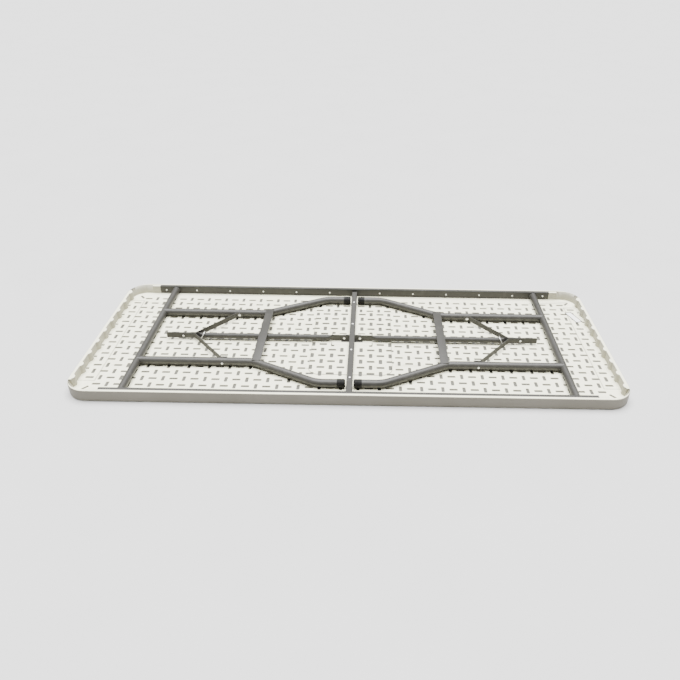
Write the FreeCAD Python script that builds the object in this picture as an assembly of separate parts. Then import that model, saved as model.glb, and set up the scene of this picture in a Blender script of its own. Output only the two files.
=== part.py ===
import FreeCAD, Part
import math
import os
from FreeCAD import Vector

# Folding table lying on its use surface, both leg frames folded into the recess.
# Millimetres. X runs along the length, Y across, Z up; z = 0 is the use surface.

# ---- overall sizes -------------------------------------------------------------------
LENGTH = 1830.0            # 6 ft top
WIDTH = 740.0
HEIGHT = 42.0              # thickness of the folded table
CORNER_R = 75.0
RIM_TOP_R = 5.0            # outer edge rounding on the rim side
RIM_LOW_R = 6.0            # outer edge rounding at the use surface

# ---- recess in the underside ---------------------------------------------------------
PANEL_Z = 10.0             # level of the recessed panel
RIM_SIDE = 20.0            # rim width along the long sides
RIM_END = 12.0             # rim width at the ends, in the bays
LOBE_R = 15.0              # half-round ribs on the end walls
LOBE_REACH = 8.0
LOBE_PITCH = 73.4
LOBE_CORNER = 28.0         # plain end wall left between the last rib and the corner rounding
FLARE = 11.0               # the recess corners open out by this much towards the rim
FLARE_LOW = 6.0            # and are upright over this height above the panel
PAD_HALF_X = 145.0         # raised middle of the panel, under the crossbar
PAD_HALF_Y = 215.0
PAD_R = 38.0
PAD_H = 2.0
PAD_EDGE = 1.2             # bevel round the raised middle
SEAT_PAST_RAIL = 32.0      # the rail seat in the rim runs this far past the rail
STEEL_T = 1.5              # sheet and tube wall

# ---- side rails and crossbar ---------------------------------------------------------
RAIL_SETBACK = 116.0       # from the end of the top to the end of the rail
FLANGE_W = 12.5
RAIL_FOOT_GAP = 1.0
SCREW_FIRST = 103.0        # first screw, from mid length
SCREW_NEXT_LAST = 149.0    # the last two screws, from the end of the rail
SCREW_LAST = 24.0
SCREWS_INNER = 5
SCREW_R = 4.0
SCREW_H = 1.6
BAR_W = 20.0
BAR_H = 20.0
BAR_RIVET_IN = 89.0        # inner rivets from the centre, outer ones from the rail web
BAR_RIVET_OUT = 90.5
BAR_RIVET_R = 5.0

# ---- leg frames ----------------------------------------------------------------------
PIVOT_SETBACK = 181.0      # from the end of the top to the leg hinge
PIVOT_R = 13.0
LEG_R = 14.0
LEG_Y = 167.0              # leg axis from the centre line at the pivot tube
FOOT_GAP = 64.5            # leg axis at the foot, from the rail web
CAP_BAR_GAP = 4.0          # end of the foot cap to the crossbar
FOOT_RUN = 93.0            # straight end of the leg tube, up to the corner of its bend
BEND_PAST_ARM = 105.0      # corner of the first bend, from the brace rivet
BEND_R = 100.0
CAP_T = 1.0
CAP_LEN = 27.0
CAP_END = 3.0
PANEL_GAP = 0.4            # folded foot caps clear the panel by this
PLATE_PAST_BEND = 12.0
PLATE_W = 30.0
PLATE_T = 2.0
PLATE_OVER = 11.0          # plate end past the leg axis
PLATE_SINK = 0.6           # the plate is coped this far over the tube crowns
BUSH_FIT = 0.06            # radial running clearance of the pivot tube on its bushes
BUSH_LEN = 20.0
BUSH_T = 2.0               # bush collar between tube end and rail web
END_GAP = 0.3

# ---- braces --------------------------------------------------------------------------
LINK_PIVOT_OUT = 18.5      # hinge of the link, from the crossbar's side
ARM_REACH = 294.0          # brace rivet on the leg tube, from the leg hinge
RIVET_R = 3.0
RIVET_FIT = 0.05
LINK_R = 10.0
BLADE_H = 22.0
BLADE_T = 4.0
EAR_R = 11.0
EAR_T = 2.0
BLADE_IN_LEN = 36.5        # flat length past the inner hinge
BLADE_FORK_GAP = 6.4       # flat starts this far before the fork of the Y
BLADE_TAIL = 61.6          # flat runs on this far past the elbow
NECK = 24.0                # length over which the tube is flattened
SIDE_GAP = 0.3
ARM_T = 2.0
ARM_H = 20.0
STEM_BACK = 44.0           # stem length from the elbow to the fork
FLANGE_IN = 8.0            # arm flange either side of its rivet
FLANGE_OUT = 14.0
HEAD_R = 5.5
HEAD_H = 1.8
RING_FORK_GAP = 24.4       # ring centre to the fork
RING_GAP = 1.0
RING_WIRE = 1.5
RING_TILT = 35.0

# ---- places that follow from the sizes above --------------------------------------------
wall_x = LENGTH / 2 - RIM_END
wall_y = WIDTH / 2 - RIM_SIDE
pad_z = PANEL_Z + PAD_H
bar_top = pad_z + BAR_H
web_y = wall_y - STEEL_T
seat_z = HEIGHT - STEEL_T
rail_x = LENGTH / 2 - RAIL_SETBACK
pivot_x = LENGTH / 2 - PIVOT_SETBACK
cap_r = LEG_R + CAP_T
link_half = max(BLADE_H, ARM_H, 2 * LINK_R) / 2
ring_high = link_half + RING_GAP + 2 * RING_WIRE       # half height of the tilted ring
ring_r = (link_half + RING_GAP + RING_WIRE) / math.cos(math.radians(RING_TILT))
axis_z = PANEL_Z + PANEL_GAP + max(cap_r, ring_high)   # level of every tube and hinge at rest
link_x = BAR_W / 2 + LINK_PIVOT_OUT
arm_x = pivot_x - ARM_REACH
# the elbow sits where link and Y brace lie in one straight line with the leg upright
elbow_x = (math.hypot(pivot_x - link_x, ARM_REACH) + link_x + arm_x) / 2
fork_x = elbow_x - STEM_BACK
foot_y = web_y - FOOT_GAP
foot_x = BAR_W / 2 + CAP_BAR_GAP + CAP_END             # tube end
bend_x = arm_x - BEND_PAST_ARM
plate_x = bend_x - PLATE_PAST_BEND
arm_in = BLADE_T / 2 + SIDE_GAP
ear_in = arm_in + 0.1
ear_out = ear_in + EAR_T
bush_r = PIVOT_R - STEEL_T - BUSH_FIT

os.makedirs("parts", exist_ok=True)
X, Y, Z = Vector(1, 0, 0), Vector(0, 1, 0), Vector(0, 0, 1)


def box(x0, x1, y0, y1, z0, z1):
    return Part.makeBox(x1 - x0, y1 - y0, z1 - z0, Vector(x0, y0, z0))


def rod(x, y0, y1, z, r):
    """Round bar along Y."""
    return Part.makeCylinder(r, y1 - y0, Vector(x, y0, z), Y)


def save(name, shape):
    shape.exportStep("parts/" + name + ".step")


def both_sides(name, shape):
    """The frame at +X and its mirror image at -X."""
    save(name + "_right", shape)
    save(name + "_left", shape.mirror(Vector(0, 0, 0), X))


def front_back(shape):
    """A piece on the +Y side and its mirror image on the -Y side."""
    return shape, shape.mirror(Vector(0, 0, 0), Y)


# ---- tabletop moulding ---------------------------------------------------------------
def rounded_block(lx, ly, r, z0, z1):
    block = box(-lx / 2, lx / 2, -ly / 2, ly / 2, z0, z1)
    upright = [e for e in block.Edges if abs(e.tangentAt(e.FirstParameter).z) > 0.9]
    return block.makeFillet(r, upright)


outer = rounded_block(LENGTH, WIDTH, CORNER_R, 0, HEIGHT)
top_edges = [e for e in outer.Edges if e.BoundBox.ZMin > HEIGHT - 0.01]
outer = outer.makeFillet(RIM_TOP_R, top_edges)
low_edges = [e for e in outer.Edges if e.BoundBox.ZMax < 0.01]
outer = outer.makeFillet(RIM_LOW_R, low_edges)

recess = rounded_block(2 * wall_x, 2 * wall_y, CORNER_R - RIM_SIDE, PANEL_Z, HEIGHT + 5)
half_wall = wall_y - (CORNER_R - RIM_SIDE) + LOBE_CORNER
lobes = 2 * int(half_wall / LOBE_PITCH) + 1
for i in range(lobes):
    y = (i - (lobes - 1) / 2) * LOBE_PITCH
    for side in (-1, 1):
        centre = Vector(side * (wall_x - LOBE_REACH + LOBE_R), y, PANEL_Z - 1)
        recess = recess.cut(Part.makeCylinder(LOBE_R, HEIGHT + 10, centre, Z))
recess = max(recess.Solids, key=lambda s: s.Volume)
pad = rounded_block(2 * PAD_HALF_X, 2 * PAD_HALF_Y, PAD_R, PANEL_Z - 1, pad_z)
pad = pad.makeChamfer(PAD_EDGE, [e for e in pad.Edges if e.BoundBox.ZMin > pad_z - 0.01])
recess = recess.cut(pad)
tabletop = outer.cut(recess)
seat_x = rail_x + SEAT_PAST_RAIL

# each recess corner flares outward past the last rib, as part of a cone, up to the rail seat
corner_r = CORNER_R - RIM_SIDE
corner_x, corner_y = wall_x - corner_r, wall_y - corner_r
flare_z = PANEL_Z + FLARE_LOW
over = 3.0
flare_top = FLARE * (HEIGHT + over - flare_z) / (HEIGHT - flare_z)
cone = Part.makeCone(corner_r, corner_r + flare_top, HEIGHT + over - flare_z,
                     Vector(corner_x, corner_y, flare_z), Z)
flare = cone.common(box(corner_x, LENGTH, corner_y + LOBE_R, WIDTH, flare_z, HEIGHT + over))
profile = Part.makePolygon([Vector(seat_x, wall_y, flare_z),
                            Vector(seat_x, wall_y + flare_top, HEIGHT + over),
                            Vector(seat_x, wall_y, HEIGHT + over),
                            Vector(seat_x, wall_y, flare_z)])
flare = flare.fuse(Part.Face(profile).extrude(Vector(corner_x - seat_x, 0, 0)))
flare = flare.fuse(flare.mirror(Vector(0, 0, 0), X))
for corners in front_back(flare):
    tabletop = tabletop.cut(corners)
for seat in front_back(box(-seat_x, seat_x, wall_y - 1, web_y + FLANGE_W + 0.5,
                           seat_z, HEIGHT + 5)):
    tabletop = tabletop.cut(seat)
save("tabletop", tabletop.removeSplitter())

# ---- side rails: upright web on the rim's inner wall, flange over the rim --------------
web = box(-rail_x, rail_x, web_y, wall_y, PANEL_Z + RAIL_FOOT_GAP, HEIGHT)
flange = box(-rail_x, rail_x, web_y, web_y + FLANGE_W, seat_z, HEIGHT)
rail = web.fuse(flange)
for side in (-1, 1):
    rail = rail.cut(rod(side * pivot_x, web_y - 1, wall_y + 1, axis_z, bush_r))
rail_back, rail_front = front_back(rail.removeSplitter())
save("side_rail_back", rail_back)
save("side_rail_front", rail_front)

pitch = (rail_x - SCREW_NEXT_LAST - SCREW_FIRST) / (SCREWS_INNER - 1)
screw_x = [SCREW_FIRST + i * pitch for i in range(SCREWS_INNER)] + [rail_x - SCREW_LAST]
heads = []
for x in screw_x:
    for side in (-1, 1):
        head = rod(side * x, web_y - SCREW_H, web_y, axis_z, SCREW_R)
        rim = [e for e in head.Edges if abs(e.BoundBox.YMin - (web_y - SCREW_H)) < 0.01
               and e.BoundBox.YLength < 0.01]
        heads.append(head.makeFillet(0.9, rim))
screws_back, screws_front = front_back(Part.makeCompound(heads))
save("rail_screws_back", screws_back)
save("rail_screws_front", screws_front)

# ---- crossbar between the rails ---------------------------------------------------------
bar = box(-BAR_W / 2, BAR_W / 2, -web_y, web_y, pad_z, bar_top)
long_edges = [e for e in bar.Edges if e.BoundBox.YLength > 100]
bar = bar.makeFillet(2.0, long_edges)
bar = bar.cut(box(-BAR_W / 2 + STEEL_T, BAR_W / 2 - STEEL_T, -web_y, web_y,
                  pad_z + STEEL_T, bar_top - STEEL_T))
save("crossbar", bar)

rivets = []
for y in (BAR_RIVET_IN, web_y - BAR_RIVET_OUT):
    for side in (-1, 1):
        at = Vector(0, side * y, bar_top)
        head = Part.makeCylinder(BAR_RIVET_R, 1.6, at, Z)
        rim = [e for e in head.Edges if e.BoundBox.ZMin > at.z + 1.5]
        rivets.append(head.makeFillet(1.0, rim))
save("crossbar_rivets", Part.makeCompound(rivets))

# ---- clevis on the crossbar and the rivet that carries the brace link -------------------
base_z = pad_z + EAR_T
bracket = box(BAR_W / 2, link_x + EAR_R, -EAR_R, EAR_R, pad_z, base_z)
for y0, y1 in ((ear_in, ear_out), (-ear_out, -ear_in)):
    ear = box(BAR_W / 2, link_x, y0, y1, base_z, axis_z + EAR_R)
    ear = ear.fuse(rod(link_x, y0, y1, axis_z, EAR_R))
    ear = ear.fuse(box(link_x, link_x + EAR_R, y0, y1, base_z, axis_z))
    bracket = bracket.fuse(ear)
bracket = bracket.cut(rod(link_x, -20, 20, axis_z, RIVET_R)).removeSplitter()
both_sides("brace_bracket", bracket)


def rivet(x, half, z):
    """Through rivet along Y with a domed head at each end."""
    body = rod(x, -half, half, z, RIVET_R)
    for y0 in (-half - HEAD_H, half):
        head = rod(x, y0, y0 + HEAD_H, z, HEAD_R)
        far = y0 if y0 < 0 else y0 + HEAD_H
        rim = [e for e in head.Edges if abs(e.BoundBox.YMin - far) < 0.01
               and abs(e.BoundBox.YMax - far) < 0.01]
        body = body.fuse(head.makeFillet(1.0, rim))
    return body.removeSplitter()


both_sides("link_rivet", rivet(link_x, ear_out, axis_z))

# ---- brace link: round tube flattened to an upright blade at each end -------------------
def blade(x0, x1):
    return box(x0, x1, -BLADE_T / 2, BLADE_T / 2, axis_z - BLADE_H / 2, axis_z + BLADE_H / 2)


def neck(x_round, x_flat):
    """Loft from the round tube to the flattened section."""
    circle = Part.Wire([Part.Circle(Vector(x_round, 0, axis_z), X, LINK_R).toShape()])
    flat = Part.Ellipse(Vector(x_flat, 0, axis_z + BLADE_H / 2),
                        Vector(x_flat, BLADE_T / 2, axis_z), Vector(x_flat, 0, axis_z))
    return Part.makeLoft([circle, Part.Wire([flat.toShape()])], True)


flat_in = link_x + BLADE_IN_LEN
flat_out = fork_x - BLADE_FORK_GAP
flat_end = elbow_x + BLADE_TAIL
tube_in = flat_in + NECK
tube_out = flat_out - NECK
link = Part.makeCylinder(LINK_R, tube_out - tube_in, Vector(tube_in, 0, axis_z), X)
link = link.fuse([neck(tube_in, flat_in), neck(tube_out, flat_out),
                  blade(link_x, flat_in + 10),
                  rod(link_x, -BLADE_T / 2, BLADE_T / 2, axis_z, BLADE_H / 2),
                  blade(flat_out - 10, flat_end)])
for x in (link_x, elbow_x):
    link = link.cut(rod(x, -20, 20, axis_z, RIVET_R + RIVET_FIT))
ends = [e for e in link.Edges if abs(e.BoundBox.XMin - flat_end) < 0.01
        and e.BoundBox.YLength > 1 and e.BoundBox.ZLength < 0.01]
link = link.makeFillet(5.0, ends)
both_sides("brace_link", link)

# ---- Y brace: two bent strips from the elbow to the inner faces of the leg tubes --------
tube_face = LEG_Y - LEG_R
flange_out = tube_face - END_GAP


def strip(points, t):
    """Flat strip of thickness t whose left side follows the points, extruded upright."""
    def offset(i):
        dirs = []
        if i > 0:
            dirs.append((points[i] - points[i - 1]).normalize())
        if i < len(points) - 1:
            dirs.append((points[i + 1] - points[i]).normalize())
        normals = [Vector(-d.y, d.x, 0) for d in dirs]
        if len(normals) == 1:
            return points[i] + normals[0] * t
        mid = (normals[0] + normals[1]).normalize()
        return points[i] + mid * (t / mid.dot(normals[0]))
    outline = points + [offset(i) for i in reversed(range(len(points)))]
    face = Part.Face(Part.makePolygon(outline + [outline[0]]))
    return face.extrude(Vector(0, 0, ARM_H))


z0 = axis_z - ARM_H / 2
path = [Vector(arm_x - FLANGE_OUT, flange_out - ARM_T, z0),
        Vector(arm_x + FLANGE_IN, flange_out - ARM_T, z0),
        Vector(fork_x, arm_in, z0), Vector(elbow_x, arm_in, z0)]
arm = strip(path, ARM_T).fuse(rod(elbow_x, arm_in, arm_in + ARM_T, axis_z, ARM_H / 2))
arm = arm.cut(rod(elbow_x, arm_in - 1, arm_in + ARM_T + 1, axis_z, RIVET_R))
arm = arm.cut(rod(arm_x, flange_out - ARM_T - 1, flange_out + 1, axis_z, RIVET_R))
arm_back, arm_front = front_back(arm.removeSplitter())
both_sides("brace_arm_back", arm_back)
both_sides("brace_arm_front", arm_front)
both_sides("elbow_rivet", rivet(elbow_x, arm_in + ARM_T, axis_z))

# the arm's own half of the rivet at the leg; the other half stays with the leg tube
face_y = flange_out - ARM_T
head = rod(arm_x, face_y - HEAD_H, face_y, axis_z, HEAD_R)
rim = [e for e in head.Edges if e.BoundBox.YMax < face_y - HEAD_H + 0.01]
arm_stud = head.makeFillet(1.0, rim).fuse(rod(arm_x, face_y, flange_out, axis_z, RIVET_R))
stud_back, stud_front = front_back(arm_stud.removeSplitter())
both_sides("arm_stud_back", stud_back)
both_sides("arm_stud_front", stud_front)

# ---- locking ring on the link ------------------------------------------------------------
ring_at = Vector(fork_x - RING_FORK_GAP, 0, axis_z)
ring = Part.makeTorus(ring_r, RING_WIRE, ring_at, X)
ring.rotate(ring_at, Y, -RING_TILT)
both_sides("lock_ring", ring)

# ---- leg frame: pivot tube, two bent leg tubes, cross plate, foot caps --------------------
tube_end = web_y - BUSH_T - END_GAP
pivot = rod(pivot_x, -tube_end, tube_end, axis_z, PIVOT_R)
pivot_solid = pivot
pivot = pivot.cut(rod(pivot_x, -WIDTH, WIDTH, axis_z, PIVOT_R - STEEL_T))
both_sides("pivot_tube", pivot)

bend = math.atan2(foot_y - LEG_Y, bend_x - foot_x - FOOT_RUN)
corners = [Vector(pivot_x, LEG_Y, axis_z), Vector(bend_x, LEG_Y, axis_z),
           Vector(foot_x + FOOT_RUN, foot_y, axis_z), Vector(foot_x, foot_y, axis_z)]


def leg_path():
    """Straight runs joined by arcs of BEND_R."""
    edges, start = [], corners[0]
    for i in (1, 2):
        d_in = (corners[i] - corners[i - 1]).normalize()
        d_out = (corners[i + 1] - corners[i]).normalize()
        cut = BEND_R * math.tan(bend / 2)
        a, b = corners[i] - d_in * cut, corners[i] + d_out * cut
        to_centre = (d_out - d_in).normalize()
        centre = corners[i] + to_centre * (BEND_R / math.cos(bend / 2))
        mid = centre - to_centre * BEND_R
        edges += [Part.makeLine(start, a), Part.Arc(a, mid, b).toShape()]
        start = b
    edges.append(Part.makeLine(start, corners[3]))
    return Part.Wire(edges)


def swept(r):
    ring_wire = Part.Wire([Part.Circle(corners[0], X, r).toShape()])
    return leg_path().makePipeShell([ring_wire], True, False)


leg_solid = swept(LEG_R)
leg = leg_solid.cut(swept(LEG_R - STEEL_T)).cut(pivot_solid)
leg = max(leg.Solids, key=lambda s: s.Volume)
leg = leg.cut(rod(arm_x, LEG_Y - 30, LEG_Y + 30, axis_z, RIVET_R))
leg_back, leg_front = front_back(leg)
both_sides("leg_tube_back", leg_back)
both_sides("leg_tube_front", leg_front)

crown = axis_z + LEG_R
plate_y = LEG_Y + PLATE_OVER
plate = box(plate_x - PLATE_W / 2, plate_x + PLATE_W / 2, -plate_y, plate_y,
            crown - PLATE_SINK, crown - PLATE_SINK + PLATE_T)
for solid in front_back(leg_solid):
    plate = plate.cut(solid)
both_sides("cross_plate", max(plate.Solids, key=lambda s: s.Volume))

cap = Part.makeCylinder(cap_r, CAP_LEN, Vector(foot_x - CAP_END, foot_y, axis_z), X)
rim = [e for e in cap.Edges if e.BoundBox.XMax < foot_x - CAP_END + 0.01]
cap = cap.makeFillet(2.0, rim)
cap = cap.cut(Part.makeCylinder(LEG_R, CAP_LEN, Vector(foot_x, foot_y, axis_z), X))
cap_back, cap_front = front_back(cap)
both_sides("foot_cap_back", cap_back)
both_sides("foot_cap_front", cap_front)

# the leg's half of the brace rivet: shank through the tube, head on the outer side
shank = rod(arm_x, tube_face, LEG_Y + LEG_R, axis_z, RIVET_R)
head = rod(arm_x, LEG_Y + LEG_R - 1.5, LEG_Y + LEG_R + HEAD_H, axis_z, HEAD_R)
rim = [e for e in head.Edges if e.BoundBox.YMin > LEG_Y + LEG_R + HEAD_H - 0.01]
head = head.makeFillet(1.0, rim).cut(leg_solid)
leg_rivet = max(head.Solids, key=lambda s: s.Volume).fuse(shank).removeSplitter()
rivet_back, rivet_front = front_back(leg_rivet)
both_sides("leg_rivet_back", rivet_back)
both_sides("leg_rivet_front", rivet_front)

# ---- pivot bushes fixed in the rail webs ----------------------------------------------------
bush = rod(pivot_x, web_y - BUSH_LEN, wall_y, axis_z, bush_r)
bush = bush.fuse(rod(pivot_x, web_y - BUSH_T, web_y, axis_z, PIVOT_R + 0.5)).removeSplitter()
bush_back, bush_front = front_back(bush)
both_sides("pivot_bush_back", bush_back)
both_sides("pivot_bush_front", bush_front)
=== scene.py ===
import math

import bmesh
import bpy
from mathutils import Matrix, Vector


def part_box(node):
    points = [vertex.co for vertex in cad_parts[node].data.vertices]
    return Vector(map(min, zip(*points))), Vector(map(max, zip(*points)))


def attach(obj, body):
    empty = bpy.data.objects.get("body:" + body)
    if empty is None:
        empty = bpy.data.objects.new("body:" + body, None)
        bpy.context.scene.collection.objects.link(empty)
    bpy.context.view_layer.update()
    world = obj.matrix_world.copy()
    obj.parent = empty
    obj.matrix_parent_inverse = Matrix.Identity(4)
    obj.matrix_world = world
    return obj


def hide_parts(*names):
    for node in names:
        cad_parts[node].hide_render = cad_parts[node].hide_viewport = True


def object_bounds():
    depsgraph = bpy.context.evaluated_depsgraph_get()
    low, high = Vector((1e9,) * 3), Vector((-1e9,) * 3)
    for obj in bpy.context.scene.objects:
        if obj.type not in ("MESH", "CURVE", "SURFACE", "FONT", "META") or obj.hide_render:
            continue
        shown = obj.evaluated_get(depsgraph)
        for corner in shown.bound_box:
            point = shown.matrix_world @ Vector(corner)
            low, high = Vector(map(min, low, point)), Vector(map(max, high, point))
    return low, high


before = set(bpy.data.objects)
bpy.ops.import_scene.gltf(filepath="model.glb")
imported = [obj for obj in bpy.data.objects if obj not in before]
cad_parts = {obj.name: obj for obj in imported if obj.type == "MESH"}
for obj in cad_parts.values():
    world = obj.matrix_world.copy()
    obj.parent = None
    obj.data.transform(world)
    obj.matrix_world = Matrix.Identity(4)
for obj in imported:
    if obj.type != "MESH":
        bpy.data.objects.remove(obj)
cad_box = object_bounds()

# ---- Camera ---------------------------------------------------------------------------
# A standing viewer looks down across one long side of the table, a little right of
# its middle. The small shift keeps the table near the middle of the view.
camera = bpy.data.objects.new("camera", bpy.data.cameras.new("camera"))
camera.data.sensor_width = 36
camera.data.lens = 34.132
camera.data.shift_x = -0.0441
camera.data.clip_end = 100
camera.location = (0.0629, -2.0038, 1.2778)
camera.rotation_euler = [math.radians(a) for a in (57.818, -0.858, 0.452)]
bpy.context.collection.objects.link(camera)
bpy.context.scene.camera = camera


# ---- Tabletop moulding ------------------------------------------------------------------
# The top is one blow-moulded shell of high-density polyethylene, off white, with a fine
# pebble grain. Its underside has short pockets, pressed in until the two skins meet, which
# stiffen it. They run in turn along and across the table.
class Wire:
    """A shader socket that adds its Math nodes when it is used in a sum."""

    def __init__(self, finish, socket):
        self.finish, self.socket = finish, socket

    def math(self, operation, *others):
        values = {i: v for i, v in enumerate((self,) + others)}
        return self.finish.node("ShaderNodeMath", {"operation": operation}, values)

    def __add__(self, other):
        return self.math("ADD", other)

    __radd__ = __add__

    def __mul__(self, other):
        return self.math("MULTIPLY", other)

    __rmul__ = __mul__

    def __sub__(self, other):
        return self.math("SUBTRACT", other)

    def __rsub__(self, other):
        return (self * -1) + other

    def __abs__(self):
        return self.math("ABSOLUTE")


class Finish:
    """A procedural material around one Principled shader."""

    def __init__(self, name, **fixed):
        self.material = bpy.data.materials.new(name)
        self.material.use_nodes = True
        self.tree = self.material.node_tree
        self.shader = self.tree.nodes["Principled BSDF"]
        self.feed(self.shader, {k.replace("_", " "): v for k, v in fixed.items()})

    def feed(self, node, values):
        for key, value in values.items():
            if isinstance(value, Wire):
                self.tree.links.new(value.socket, node.inputs[key])
            else:
                node.inputs[key].default_value = value

    def node(self, kind, settings=None, values=None, out=0):
        made = self.tree.nodes.new(kind)
        for key, value in (settings or {}).items():
            if key == "stops":
                ramp = made.color_ramp
                for i, (at, colour) in enumerate(value):
                    stop = ramp.elements[i] if i < 2 else ramp.elements.new(at)
                    stop.position, stop.color = at, (*colour, 1)
            else:
                setattr(made, key, value)
        self.feed(made, values or {})
        return Wire(self, made.outputs[out])

    def place(self, turned=(0, 0, 0), stretch=(1, 1, 1)):
        """Object coordinates in metres, turned and stretched."""
        coords = self.node("ShaderNodeTexCoord", out=3)
        return self.node("ShaderNodeMapping", values={
            "Vector": coords, "Rotation": turned, "Scale": stretch})

    def noise(self, scale, detail=3.0, vector=None, roughness=0.5):
        return self.node("ShaderNodeTexNoise", values={
            "Vector": vector or self.place(), "Scale": scale, "Detail": detail, "Roughness": roughness})

    def ramp(self, value, *stops):
        return self.node("ShaderNodeValToRGB", {"stops": stops}, {"Fac": value})

    def mix(self, share, first, second):
        """Blend of two colours."""
        return self.node("ShaderNodeMix", {"data_type": "RGBA"}, {0: share, 6: first, 7: second}, out=2)

    def bump(self, height, strength, distance, below=None):
        values = {"Height": height, "Strength": strength, "Distance": distance}
        if below:
            values["Normal"] = below
        return self.node("ShaderNodeBump", values=values)

    def surface(self, **values):
        self.feed(self.shader, {k.replace("_", " "): v for k, v in values.items()})


def line_mask(distance, width):
    """1 on a line, falling to 0 at width from it."""
    return distance.finish.node("ShaderNodeMapRange", values={
        "Value": abs(distance), "From Min": 0.0, "From Max": width, "To Min": 1.0, "To Max": 0.0})


panel_z, pad_z = 0.010, 0.012                       # recessed panel and its raised middle
row_step, row_shift, column_step, column_shift = 0.0367, 0.0055, 0.03505, -0.0063
middle_row_shift, middle_column_step = 0.0113, 0.0346
mould_line_x, mould_line_y = 0.847, 0.2755          # faint parting outline near the ends


def polyethylene(name, light, dark, lines):
    """Pebble-grained moulded plastic; the faint mould outline, a ridge with painted shade along it, is on the
    panel only.
    """
    plastic = Finish(name, Specular_IOR_Level=0.32)
    cloud = plastic.noise(7.0, 3.0)
    grain = plastic.noise(900.0, 2.0, roughness=0.6)
    speck = plastic.noise(260.0, 4.0, roughness=0.7)
    tone = plastic.mix(plastic.ramp(cloud, (0.35, (0, 0, 0)), (0.7, (1, 1, 1))), (*light, 1), (*dark, 1))
    tone = plastic.mix(plastic.ramp(speck, (0.58, (0, 0, 0)), (0.78, (0.35, 0.35, 0.35))), tone,
                       (*[c * 0.86 for c in dark], 1))
    relief = plastic.bump(grain, 0.25, 0.0004)
    relief = plastic.bump(speck, 0.2, 0.0008, relief)
    if lines:
        split = plastic.node("ShaderNodeSeparateXYZ", values={"Vector": plastic.place()})
        x = abs(split)
        y = abs(Wire(plastic, split.socket.node.outputs[1]) - row_shift)
        z = Wire(plastic, split.socket.node.outputs[2])
        outline = (mould_line_x - x).math("MAXIMUM", y - mould_line_y)
        mask = line_mask(outline, 0.0034) * line_mask(z - panel_z, 0.0006)
        # The outline's darker colour is painted shade along the faint ridge; the bump gives the ridge itself.
        tone = plastic.mix(mask * 0.85, tone, (*[c * 0.40 for c in dark], 1))
        relief = plastic.bump(mask, 0.6, 0.0012, relief)
    plastic.surface(Base_Color=tone, Normal=relief, Roughness=0.46 + speck * 0.16)
    return plastic.material


# The white plastic in four copies: the panel's own colour, and three darker copies that are painted shade, for
# the pocket floors, the upright walls and the outer sides.
skin, pocket_painted_shade_skin, wall_painted_shade_skin, side_painted_shade_skin = [
    polyethylene("white_polyethylene" + part, light, dark, part == "") for part, light, dark in (
        ("", (0.930, 0.915, 0.715), (0.910, 0.895, 0.690)),
        ("_pocket_painted_shade", (0.105, 0.103, 0.087), (0.092, 0.090, 0.076)),
        ("_wall_painted_shade", (0.41, 0.395, 0.315), (0.37, 0.355, 0.28)),
        ("_side_painted_shade", (0.205, 0.190, 0.155), (0.185, 0.172, 0.138)))]


def add_piece(name, bm, body, materials, angle=35):
    """Turns a bmesh into a piece that rides on a body, shaded smooth up to an angle."""
    mesh = bpy.data.meshes.new(name)
    bm.to_mesh(mesh)
    bm.free()
    for face in mesh.polygons:
        face.use_smooth = True
    mesh.set_sharp_from_angle(angle=math.radians(angle))
    for material in materials:
        mesh.materials.append(material)
    piece = bpy.data.objects.new(name, mesh)
    bpy.context.collection.objects.link(piece)
    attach(piece, body)
    return piece


def clean_copy(node):
    """The CAD node's mesh, joined up, with its flat areas as single faces."""
    bm = bmesh.new()
    bm.from_mesh(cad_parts[node].data)
    bmesh.ops.remove_doubles(bm, verts=bm.verts, dist=1e-6)
    bmesh.ops.dissolve_limit(bm, angle_limit=math.radians(0.4), verts=bm.verts, edges=bm.edges)
    return bm


def soften(bm, edges, width, segments=2):
    bmesh.ops.bevel(bm, geom=edges, offset=width, offset_type="OFFSET", segments=segments, profile=0.5,
                    affect="EDGES", clamp_overlap=True, material=-1)


pocket_depth, pocket_draft = 0.0032, 0.0030         # draft: how much narrower the floor is


def pocket(length, width, lean):
    """One pocket, as a solid to take away: rounded ends, sides that narrow downward."""
    bm = bmesh.new()
    bmesh.ops.create_cube(bm, size=1)
    bmesh.ops.scale(bm, vec=(length, width, 2 * pocket_depth), verts=bm.verts)
    upright = [e for e in bm.edges if abs(e.verts[0].co.z - e.verts[1].co.z) > pocket_depth]
    soften(bm, upright, min(length, width) * 0.25, 2)
    low = [v for v in bm.verts if v.co.z < 0]
    bmesh.ops.scale(bm, vec=((length - pocket_draft) / length, (width - pocket_draft) / width, 1),
                    verts=low)
    bmesh.ops.rotate(bm, cent=(0, 0, 0), matrix=Matrix.Rotation(lean, 3, "Z"), verts=bm.verts)
    mesh = bpy.data.meshes.new("pocket")
    bm.to_mesh(mesh)
    bm.free()
    return mesh


def pocket_place(column, row):
    """Centre of a pocket and whether it is on the raised middle; none in corners and centre pad."""
    if not column:
        return None
    x, y = column * middle_column_step, row * row_step + middle_row_shift
    if abs(x) < 0.145 and abs(y) < 0.2152:
        return None if abs(column) == 1 and -1 <= row <= 0 else (x, y, True)
    x = math.copysign(abs(column) * column_step + column_shift, column)
    y = row * row_step + row_shift
    at_middle = abs(x) < 0.150 and abs(y) < 0.222
    in_corner = abs(x) > 0.838 and abs(y) > 0.285
    return None if at_middle or in_corner else (x, y, False)


along, across = pocket(0.0295, 0.0118, 0), pocket(0.0125, 0.0280, 0)
along_wide, across_wide = pocket(0.0295, 0.0135, 0), pocket(0.0145, 0.0280, 0)
slanted = {sign: pocket(0.0280, 0.0105, sign * 0.86) for sign in (1, -1)}
stub = pocket(0.0135, 0.0105, 0)
cutter = bmesh.new()


def stamp(shape, x, y, level=panel_z):
    copy = shape.copy()
    copy.transform(Matrix.Translation((x, y, level)))
    cutter.from_mesh(copy)
    bpy.data.meshes.remove(copy)


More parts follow.
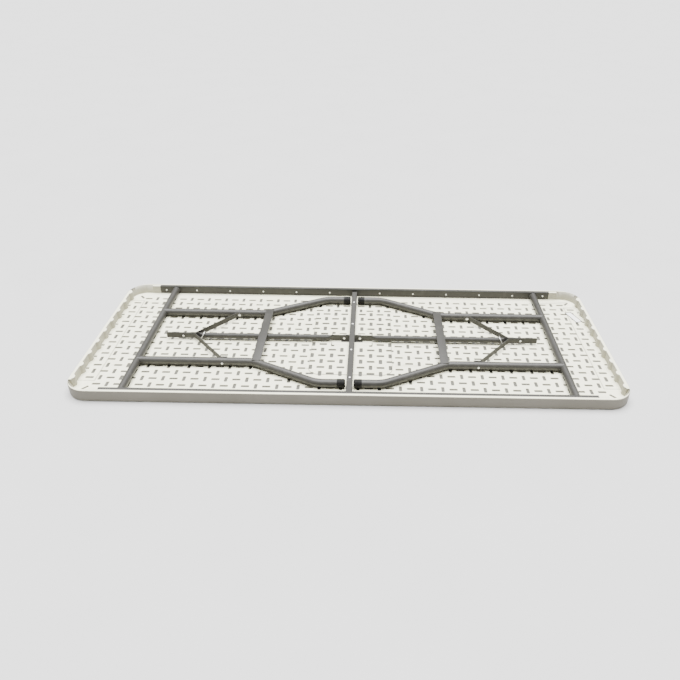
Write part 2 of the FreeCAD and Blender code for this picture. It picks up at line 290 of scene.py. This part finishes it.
for column in range(-25, 26):
    for row in range(-9, 9):
        place = pocket_place(column, row)
        if place:
            x, y, raised = place
            if (column + row) % 2:
                shape = across_wide if raised else across
            else:
                shape = along_wide if raised else along
            stamp(shape, x, y, pad_z if raised else panel_z)
for side in (-1, 1):
    for end in (-1, 1):
        stamp(slanted[side * end], side * 0.8638, end * 0.3107)
    for row in range(-6, 8, 2):
        stamp(stub, side * 0.8965, row * row_step + row_shift + 0.0150)

top = clean_copy("tabletop")
rim_z, wall_x, wall_y = cad_box[1].z, 0.904, 0.3505  # rim top; just outside the recess walls
lip = [e for e in top.edges if len(e.link_faces) == 2
       and min(v.co.z for v in e.verts) > rim_z - 0.002
       and all(abs(v.co.x) < wall_x and abs(v.co.y) < wall_y for v in e.verts)
       and min(abs(f.normal.z) for f in e.link_faces) < 0.1
       and max(f.normal.z for f in e.link_faces) > 0.9]
soften(top, lip, 0.0012, 2)
shell = add_piece("tabletop_shell", top, "table", [skin, pocket_painted_shade_skin, wall_painted_shade_skin, side_painted_shade_skin], 32)
cutter_mesh = bpy.data.meshes.new("pockets")
cutter.to_mesh(cutter_mesh)
cutter.free()
cutter_object = bpy.data.objects.new("pockets", cutter_mesh)
bpy.context.collection.objects.link(cutter_object)
cut = shell.modifiers.new("pockets", "BOOLEAN")
cut.operation, cut.solver, cut.object = "DIFFERENCE", "EXACT", cutter_object
bpy.context.view_layer.update()
pressed = bpy.data.meshes.new_from_object(shell.evaluated_get(bpy.context.evaluated_depsgraph_get()))
shell.modifiers.clear()
shell.data = pressed
bpy.data.objects.remove(cutter_object)
half_x, half_y, corner_r = cad_box[1].x, cad_box[1].y, 0.075
on_panel, in_pocket, on_wall, on_side = range(4)
for face in pressed.polygons:
    x, y, z = face.center
    upward = abs(face.normal.z)
    dx, dy = abs(x) - half_x + corner_r, abs(y) - half_y + corner_r
    inward = corner_r - (math.hypot(max(dx, 0), max(dy, 0)) + min(max(dx, dy), 0))
    pressed_in = 0.001 < z < panel_z - 0.0002 or (z < pad_z - 0.0002 and upward < 0.6 and inward > 0.1)
    middle_edge = panel_z + 0.0002 < z < pad_z - 0.0002 and face.normal.z < 0.95 and inward > 0.1
    if inward < 0.0045:
        # The outer sides get the side copy: painted shade on the skirt.
        face.material_index = on_side if upward < 0.65 else on_panel
    elif pressed_in:
        # Pocket floors get the near-black pocket copy and pocket sides the wall copy: painted shade in the
        # pockets.
        face.material_index = in_pocket if face.normal.z > 0.8 else on_wall
    elif middle_edge or (upward < 0.97 and inward < 0.05):
        # The raised middle's edge and the rim's inner walls get the wall copy: painted shade on the upright
        # faces.
        face.material_index = on_wall
    else:
        face.material_index = on_panel
    face.use_smooth = True
pressed.set_sharp_from_angle(angle=math.radians(32))
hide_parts("tabletop")

# ---- Centre pad -----------------------------------------------------------------------
# A low flat step in the moulding under the crossbar's middle, which the clevises rest
# over. It is part of the same white shell.
bm = bmesh.new()
bmesh.ops.create_cube(bm, size=1)
bmesh.ops.scale(bm, vec=(0.146, 0.076, 0.0016), verts=bm.verts)
bmesh.ops.translate(bm, vec=(0, 0.008, pad_z + 0.0003), verts=bm.verts)
soften(bm, [e for e in bm.edges if abs(e.verts[0].co.z - e.verts[1].co.z) > 0.001], 0.006, 3)
soften(bm, [e for e in bm.edges if min(v.co.z for v in e.verts) > pad_z + 0.0009], 0.0006, 1)
add_piece("centre_pad", bm, "table", [skin])

# ---- Blank sticker --------------------------------------------------------------------
# A small paper sticker near one end of the underside, left blank, a little out of true.
paper = Finish("sticker_paper", Roughness=0.55, Specular_IOR_Level=0.3)
fibre = paper.noise(500.0, 4.0)
paper.surface(Base_Color=paper.mix(fibre * 0.5, (0.93, 0.925, 0.90, 1), (0.86, 0.85, 0.81, 1)),
              Normal=paper.bump(fibre, 0.15, 0.0003))
ink = Finish("sticker_rule", Roughness=0.6)
ink.surface(Base_Color=ink.ramp(ink.noise(400.0), (0.3, (0.025, 0.022, 0.020)), (0.7, (0.05, 0.045, 0.04))))
bm = bmesh.new()
bmesh.ops.create_grid(bm, x_segments=1, y_segments=1, size=0.5)
bmesh.ops.scale(bm, vec=(0.028, 0.082, 1), verts=bm.verts)
rule = bmesh.ops.inset_individual(bm, faces=list(bm.faces), thickness=0.0055)["faces"]
for face in rule:
    face.material_index = 1
bmesh.ops.inset_individual(bm, faces=[f for f in bm.faces if not f.material_index], thickness=0.0001)
bmesh.ops.solidify(bm, geom=bm.faces, thickness=0.0003)
bmesh.ops.rotate(bm, cent=(0, 0, 0), matrix=Matrix.Rotation(0.35, 3, "Z"), verts=bm.verts)
bmesh.ops.translate(bm, vec=(0.8675, 0.205, panel_z + 0.0004), verts=bm.verts)
bmesh.ops.recalc_face_normals(bm, faces=bm.faces)
add_piece("blank_sticker", bm, "table", [paper.material, ink.material])


# ---- Side rails -------------------------------------------------------------------------
# Each rail is folded steel sheet with a grey powder coat. Its web stands against the inner
# wall of the rim and its flange lies in a seat over it.
def powder_coat(name, colour, sheen=0.42):
    """Baked paint: slight orange peel, cloudy tone, dusty patches."""
    paint = Finish(name, Specular_IOR_Level=0.32, Coat_Roughness=0.35)
    cloud = paint.noise(9.0, 4.0)
    dust = paint.noise(38.0, 5.0, roughness=0.62)
    peel = paint.noise(420.0, 2.0)
    tone = paint.mix(paint.ramp(cloud, (0.3, (0, 0, 0)), (0.72, (1, 1, 1))), (*colour, 1),
                     (*[c * 0.84 for c in colour], 1))
    tone = paint.mix(paint.ramp(dust, (0.52, (0, 0, 0)), (0.8, (0.3, 0.3, 0.3))), tone,
                     (*[min(1, c * 1.7 + 0.03) for c in colour], 1))
    paint.surface(Base_Color=tone, Roughness=(sheen - 0.06) + dust * 0.16, Coat_Weight=0.04,
                  Normal=paint.bump(peel, 0.18, 0.0004))
    return paint.material


steel = powder_coat("grey_powder_coat", (0.048, 0.0465, 0.042))
# The same grey coat, a little darker and rougher, for the rails, crossbar, clevises, plates, link and arms. The
# darkening is painted shade that keeps their flat faces no brighter than the round tubes.
painted_shade_coat = powder_coat("grey_powder_coat_painted_shade", (0.042, 0.0405, 0.036), 0.54)


def crisp_edges(bm, steepness=50):
    return [e for e in bm.edges if len(e.link_faces) == 2
            and e.calc_face_angle(0) > math.radians(steepness) and e.calc_length() > 0.0015]


for name in ("back", "front"):
    bm = clean_copy("side_rail_" + name)
    soften(bm, [e for e in crisp_edges(bm) if abs(e.verts[0].co.x - e.verts[1].co.x) > 0.5], 0.0005, 2)
    rail = add_piece("rail_" + name, bm, "table", [painted_shade_coat])
    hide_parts("side_rail_" + name)

# ---- Rail screws --------------------------------------------------------------------------
# Zinc-plated pan-head screws with a cross recess, driven through the rail web into the rim.
zinc = Finish("zinc_plate", Metallic=0.85, Specular_IOR_Level=0.5)
bloom = zinc.noise(300.0, 4.0)
zinc.surface(Base_Color=zinc.ramp(bloom, (0.3, (0.66, 0.66, 0.64)), (0.7, (0.88, 0.88, 0.86))),
             Roughness=0.26 + bloom * 0.2, Normal=zinc.bump(bloom, 0.1, 0.0002))


def screw_head(radius, height):
    """Pan head that faces +Z, seated on z = 0, with a cross recess."""
    bm = bmesh.new()
    bmesh.ops.create_cone(bm, cap_ends=True, segments=16, radius1=radius, radius2=radius, depth=height)
    bmesh.ops.translate(bm, vec=(0, 0, height / 2), verts=bm.verts)
    soften(bm, [e for e in bm.edges if min(v.co.z for v in e.verts) > height * 0.9], height * 0.5, 3)
    crown = max(bm.faces, key=lambda f: f.calc_center_median().z)
    bmesh.ops.inset_individual(bm, faces=[crown], thickness=radius * 0.12)
    hollow = [v for v in crown.verts if min(abs(v.co.x), abs(v.co.y)) > radius * 0.12]
    bmesh.ops.scale(bm, vec=(0.42, 0.42, 1), verts=hollow)
    bmesh.ops.inset_individual(bm, faces=[crown], thickness=0.00012, depth=-height * 0.45)
    mesh = bpy.data.meshes.new("screw_head")
    bm.to_mesh(mesh)
    bm.free()
    return mesh


web_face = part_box("rail_screws_back")[1].y
low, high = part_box("rail_screws_back")
rail_end = high.x - 0.00433
screw_z = (low.z + high.z) / 2
first_x, last_inner_x = 0.103, rail_end - 0.125
screw_xs = [first_x + i * (last_inner_x - first_x) / 4 for i in range(5)] + [rail_end]
pan = screw_head(0.0033, 0.0015)
for name, sign in (("back", 1), ("front", -1)):
    bm = bmesh.new()
    for i, x in enumerate(screw_xs):
        for side in (-1, 1):
            copy = pan.copy()
            turn = Matrix.Rotation(0.7 * i + side, 4, "Z")
            copy.transform(Matrix.Translation((side * x, sign * web_face, screw_z))
                           @ Matrix.Rotation(sign * math.pi / 2, 4, "X") @ turn)
            bm.from_mesh(copy)
            bpy.data.meshes.remove(copy)
    screws = add_piece("screws_" + name, bm, "table", [zinc.material])
    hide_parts("rail_screws_" + name)

# ---- Crossbar -------------------------------------------------------------------------------
# Square steel tube across the middle, between the two rails. Four domed rivets on top hold
# it down.
bar = add_piece("crossbar_tube", clean_copy("crossbar"), "table", [painted_shade_coat])
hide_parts("crossbar")


def dome(radius, height, steps=20):
    """Domed rivet head that faces +Z, seated on z = 0, made by turning its half outline."""
    bm = bmesh.new()
    outline = [bm.verts.new(p) for p in (
        (radius, 0, 0), (radius, 0, height * 0.35), (radius * 0.86, 0, height * 0.72),
        (radius * 0.55, 0, height * 0.94), (0, 0, height))]
    edges = [bm.edges.new(pair) for pair in zip(outline, outline[1:])]
    bmesh.ops.spin(bm, geom=outline + edges, cent=(0, 0, 0), axis=(0, 0, 1), angle=2 * math.pi,
                   steps=steps, use_merge=True)
    bmesh.ops.remove_doubles(bm, verts=bm.verts, dist=1e-6)
    bmesh.ops.holes_fill(bm, edges=[e for e in bm.edges if e.is_boundary], sides=0)
    bmesh.ops.recalc_face_normals(bm, faces=bm.faces)
    mesh = bpy.data.meshes.new("dome")
    bm.to_mesh(mesh)
    bm.free()
    return mesh


low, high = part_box("crossbar_rivets")
head = dome((high.x - low.x) * 0.38, 0.0016)
bm = bmesh.new()
for y in (0.089, high.y - 0.005):
    for sign in (-1, 1):
        copy = head.copy()
        copy.transform(Matrix.Translation((0, sign * y, low.z)))
        bm.from_mesh(copy)
        bpy.data.meshes.remove(copy)
bar_rivets = add_piece("crossbar_domes", bm, "table", [zinc.material])
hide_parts("crossbar_rivets")


# ---- Clevises, pivot bushes and through rivets ------------------------------------------------
# A folded steel clevis each side of the crossbar holds a brace link on a zinc rivet. The leg
# frames turn on dark nylon bushes in the rail webs.
def turned(name, outline, at, body, slot, material, steps=28):
    """A round piece on an axis along Y, from its half outline of (radius, y) points."""
    bm = bmesh.new()
    points = [bm.verts.new((r, y, 0)) for r, y in outline]
    edges = [bm.edges.new(pair) for pair in zip(points, points[1:])]
    bmesh.ops.spin(bm, geom=points + edges, cent=(0, 0, 0), axis=(0, 1, 0), angle=2 * math.pi,
                   steps=steps, use_merge=True)
    bmesh.ops.remove_doubles(bm, verts=bm.verts, dist=1e-6)
    bmesh.ops.recalc_face_normals(bm, faces=bm.faces)
    bmesh.ops.translate(bm, vec=at, verts=bm.verts)
    return add_piece(name, bm, body, [material])


def rivet_outline(half, radius, height):
    """Both domed heads and the shank between them."""
    one = [(0, half + height), (radius * 0.55, half + height * 0.94), (radius * 0.86, half + height * 0.7),
           (radius, half + height * 0.3), (radius, half), (0.003, half)]
    return one + [(r, -y) for r, y in reversed(one)]


nylon = Finish("dark_nylon", Specular_IOR_Level=0.4)
scuff = nylon.noise(160.0, 4.0)
nylon.surface(Base_Color=nylon.ramp(scuff, (0.3, (0.10, 0.10, 0.10)), (0.75, (0.17, 0.17, 0.165))),
              Roughness=0.4 + scuff * 0.2, Normal=nylon.bump(scuff, 0.2, 0.0003))

hinge_x = 0.734
axis_z = (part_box("pivot_tube_right")[0].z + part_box("pivot_tube_right")[1].z) / 2
rivet_r, rivet_dome = 0.0046, 0.0018
for side, name in ((-1, "left"), (1, "right")):
    bm = clean_copy("brace_bracket_" + name)
    soften(bm, crisp_edges(bm), 0.0004, 1)
    clevis = add_piece("clevis_" + name, bm, "table", [painted_shade_coat])
    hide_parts("brace_bracket_" + name)

    low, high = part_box("link_rivet_" + name)
    at = ((low.x + high.x) / 2, 0, axis_z)
    pin = turned("clevis_rivet_" + name, rivet_outline(high.y - rivet_dome, rivet_r, rivet_dome), at,
                 "table", "zinc", zinc.material)
    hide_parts("link_rivet_" + name)

    for end, where in ((-1, "front"), (1, "back")):
        low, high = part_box("pivot_bush_%s_%s" % (where, name))
        outer = (high.z - low.z) / 2
        y0, y1 = sorted((abs(low.y), abs(high.y)))
        collar = y1 - 0.0035
        sleeve = 0.0114
        outline = [(0, y0), (0.0098, y0), (sleeve, y0 + 0.0016), (sleeve, collar),
                   (outer - 0.0004, collar), (outer, collar + 0.0004), (outer, collar + 0.0016),
                   (outer - 0.0004, collar + 0.002), (sleeve, collar + 0.002), (sleeve, y1), (0, y1)]
        bush = turned("bush_%s_%s" % (where, name), [(r, end * y) for r, y in outline],
                      (side * hinge_x, 0, axis_z), "table", "dark_nylon", nylon.material)
        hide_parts("pivot_bush_%s_%s" % (where, name))


# ---- Leg frames -----------------------------------------------------------------------------------
# Round steel tube with a grey powder coat. Two bent legs are welded to a tube that turns in
# the rails. They spread towards the feet, and a flat steel plate ties them together.
def bent_tube(radius, wall, start, heading, moves, segments=32):
    """A hollow tube from start: each move is a straight length, or a bend (radius, angle) in plan."""
    bm = bmesh.new()
    for r in (radius, radius - wall):
        ring = bmesh.ops.create_circle(bm, segments=segments, radius=r)["verts"]
        aim = Vector(heading).to_track_quat("Z", "Y").to_matrix().to_4x4()
        bmesh.ops.transform(bm, matrix=Matrix.Translation(start) @ aim, verts=ring)
    rings = list(bm.edges)
    first = list(rings)
    at, way = Vector(start), Vector(heading)
    for move in moves:
        if isinstance(move, tuple):
            bend_radius, angle = move
            sideways = Vector((-way.y, way.x, 0)) * math.copysign(1, angle)
            centre = at + sideways * bend_radius
            out = bmesh.ops.spin(bm, geom=rings, cent=centre, axis=(0, 0, 1), angle=angle, steps=8)["geom_last"]
            turn = Matrix.Rotation(angle, 3, "Z")
            at, way = centre + turn @ (at - centre), turn @ way
        else:
            out = bmesh.ops.extrude_edge_only(bm, edges=rings)["geom"]
            bmesh.ops.translate(bm, vec=way * move, verts=[g for g in out if isinstance(g, bmesh.types.BMVert)])
            at = at + way * move
        rings = [g for g in out if isinstance(g, bmesh.types.BMEdge)
                 and all(abs((v.co - at).dot(way)) < 1e-6 for v in g.verts)]
    for loops in (first, rings):
        bmesh.ops.bridge_loops(bm, edges=loops)
    bmesh.ops.recalc_face_normals(bm, faces=bm.faces)
    return bm


rubber = Finish("black_rubber", Specular_IOR_Level=0.15)
dull = rubber.noise(220.0, 4.0)
rubber.surface(Base_Color=rubber.ramp(dull, (0.3, (0.005, 0.005, 0.005)), (0.8, (0.014, 0.0135, 0.013))),
               Roughness=0.5 + dull * 0.25, Normal=rubber.bump(dull, 0.3, 0.0004))

leg_spread, foot_spread, bend_radius = 0.167, 0.284, 0.100
bend_x, foot_bend_x, foot_x = 0.335, 0.110, 0.017
leg_r, pivot_r, tube_wall = 0.014, 0.013, 0.0015
leg_start = hinge_x - 0.0005                        # the leg is welded into the pivot tube here
bend = math.atan2(foot_spread - leg_spread, bend_x - foot_bend_x)
reach = bend_radius * math.tan(bend / 2)
slope = math.hypot(foot_spread - leg_spread, bend_x - foot_bend_x)
for side, name in ((-1, "left"), (1, "right")):
    body = "leg_frame_" + name
    low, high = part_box("pivot_tube_" + name)
    half = high.y
    bm = bent_tube(pivot_r, tube_wall, (side * hinge_x, -half, axis_z), (0, 1, 0), [2 * half])
    tube = add_piece("pivot_" + name, bm, body, [steel])
    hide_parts("pivot_tube_" + name)

    for end, where in ((-1, "front"), (1, "back")):
        turn = -side * end * bend
        bm = bent_tube(leg_r, tube_wall, (side * leg_start, end * leg_spread, axis_z), (-side, 0, 0),
                       [leg_start - bend_x - reach, (bend_radius, turn), slope - 2 * reach,
                        (bend_radius, -turn), foot_bend_x - foot_x - reach])
        leg = add_piece("leg_%s_%s" % (where, name), bm, body, [steel])
        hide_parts("leg_tube_%s_%s" % (where, name))

        low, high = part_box("foot_cap_%s_%s" % (where, name))
        tip, mouth = sorted((abs(low.x), abs(high.x)))
        cap_r = (high.z - low.z) / 2
        outline = [(0, tip), (cap_r - 0.0045, tip), (cap_r - 0.0012, tip + 0.0012), (cap_r, tip + 0.004),
                   (cap_r, tip + 0.011), (cap_r - 0.0005, tip + 0.0115), (cap_r - 0.0005, tip + 0.013),
                   (cap_r, tip + 0.0135), (cap_r, mouth - 0.0006), (cap_r - 0.0005, mouth), (leg_r, mouth),
                   (leg_r, tip + 0.003), (0, tip + 0.003)]
        cap = turned("cap_%s_%s" % (where, name), outline, (0, 0, 0), body, "black_rubber", rubber.material)
        cap.data.transform(Matrix.Translation((0, end * foot_spread, axis_z))
                           @ Matrix.Rotation(-side * math.pi / 2, 4, "Z"))
        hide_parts("foot_cap_%s_%s" % (where, name))

        low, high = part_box("leg_rivet_%s_%s" % (where, name))
        outer, shank, seat = 0.0039, 0.003, leg_spread - leg_r
        far = max(abs(low.y), abs(high.y))
        outline = [(0, far), (outer * 0.55, far - 0.0001), (outer * 0.86, far - 0.0006), (outer, far - 0.0013),
                   (outer, far - 0.0032), (shank, far - 0.0032), (shank, seat), (0, seat)]
        pin = turned("leg_pin_%s_%s" % (where, name), [(r, end * y) for r, y in outline],
                     ((low.x + high.x) / 2, 0, axis_z), body, "zinc", zinc.material)
        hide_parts("leg_rivet_%s_%s" % (where, name))

    bm = clean_copy("cross_plate_" + name)
    plate_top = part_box("cross_plate_" + name)[1].z
    upper = [e for e in crisp_edges(bm, 70) if min(v.co.z for v in e.verts) > plate_top - 0.0001]
    soften(bm, upper, 0.0005, 2)
    plate = add_piece("tie_plate_" + name, bm, body, [painted_shade_coat])
    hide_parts("cross_plate_" + name)

# ---- Braces -------------------------------------------------------------------------------------
# The link is a tube pressed flat at both ends. Two bent strips run from its elbow rivet to
# the legs as a Y, and a loose zinc ring slides over the elbow to lock it.
for side, name in ((-1, "left"), (1, "right")):
    link = add_piece("link_bar_" + name, clean_copy("brace_link_" + name), "link_" + name,
                     [painted_shade_coat], 40)
    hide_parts("brace_link_" + name)

    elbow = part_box("elbow_rivet_" + name)
    at = ((elbow[0].x + elbow[1].x) / 2, 0, axis_z)
    pin = turned("elbow_pin_" + name, rivet_outline(elbow[1].y - rivet_dome, 0.0040, rivet_dome), at,
                 "y_brace_" + name, "zinc", zinc.material)
    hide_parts("elbow_rivet_" + name)

    for end, where in ((-1, "front"), (1, "back")):
        bm = clean_copy("brace_arm_%s_%s" % (where, name))
        level = [e for e in crisp_edges(bm, 60) if abs(e.verts[0].co.z - e.verts[1].co.z) < 0.004]
        soften(bm, level, 0.0004, 1)
        arm = add_piece("arm_%s_%s" % (where, name), bm, "y_brace_" + name, [painted_shade_coat])
        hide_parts("brace_arm_%s_%s" % (where, name))

        low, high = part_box("arm_stud_%s_%s" % (where, name))
        near, far = sorted((abs(low.y), abs(high.y)))
        outline = [(0, near), (0.003, near + 0.0001), (0.0047, near + 0.0006), (0.0055, near + 0.0013),
                   (0.0055, near + 0.0018), (0.003, near + 0.0018), (0.003, far), (0, far)]
        stud = turned("arm_pin_%s_%s" % (where, name), [(r, end * y) for r, y in outline],
                      ((low.x + high.x) / 2, 0, axis_z), "y_brace_" + name, "zinc", zinc.material)
        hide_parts("arm_stud_%s_%s" % (where, name))

    low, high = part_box("lock_ring_" + name)
    wire_r, tilt = 0.0015, Matrix.Rotation(-side * math.radians(35), 3, "Y")
    bm = bmesh.new()
    bmesh.ops.create_circle(bm, segments=12, radius=wire_r)
    bmesh.ops.rotate(bm, cent=(0, 0, 0), matrix=Matrix.Rotation(math.pi / 2, 3, "X"), verts=bm.verts)
    bmesh.ops.translate(bm, vec=(0, 0, (high.y - low.y) / 2 - wire_r), verts=bm.verts)
    bmesh.ops.spin(bm, geom=list(bm.edges), cent=(0, 0, 0), axis=(1, 0, 0), angle=2 * math.pi, steps=48,
                   use_merge=True)
    bmesh.ops.remove_doubles(bm, verts=bm.verts, dist=1e-6)
    bmesh.ops.recalc_face_normals(bm, faces=bm.faces)
    bmesh.ops.rotate(bm, cent=(0, 0, 0), matrix=tilt, verts=bm.verts)
    bmesh.ops.translate(bm, vec=(low + high) / 2, verts=bm.verts)
    ring = add_piece("ring_wire_" + name, bm, "ring_" + name, [zinc.material])
    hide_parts("lock_ring_" + name)

# ---- Floor and light ------------------------------------------------------------------------------
# Plain pale floor, one broad soft light from almost straight above, and a weak even
# surround.
floor_paint = Finish("floor_paint", Roughness=0.9, Specular_IOR_Level=0.1)
floor_paint.surface(Base_Color=floor_paint.ramp(
    floor_paint.noise(3.0), (0.3, (0.55, 0.55, 0.55)), (0.7, (0.57, 0.57, 0.57))))
bm = bmesh.new()
bmesh.ops.create_grid(bm, x_segments=1, y_segments=1, size=40)
mesh = bpy.data.meshes.new("floor")
bm.to_mesh(mesh)
bm.free()
mesh.materials.append(floor_paint.material)
floor = bpy.data.objects.new("floor", mesh)
floor.location.z = -0.0004
bpy.context.collection.objects.link(floor)

lamp = bpy.data.lights.new("overhead", "SUN")
lamp.energy, lamp.angle = 14.0, math.radians(60)
overhead = bpy.data.objects.new("overhead", lamp)
overhead.rotation_euler = (math.radians(-10), 0, 0)
bpy.context.collection.objects.link(overhead)
world = bpy.data.worlds.new("surround")
world.use_nodes = True
world.node_tree.nodes["Background"].inputs["Color"].default_value = (1, 1, 1, 1)
world.node_tree.nodes["Background"].inputs["Strength"].default_value = 0.30
bpy.context.scene.world = world
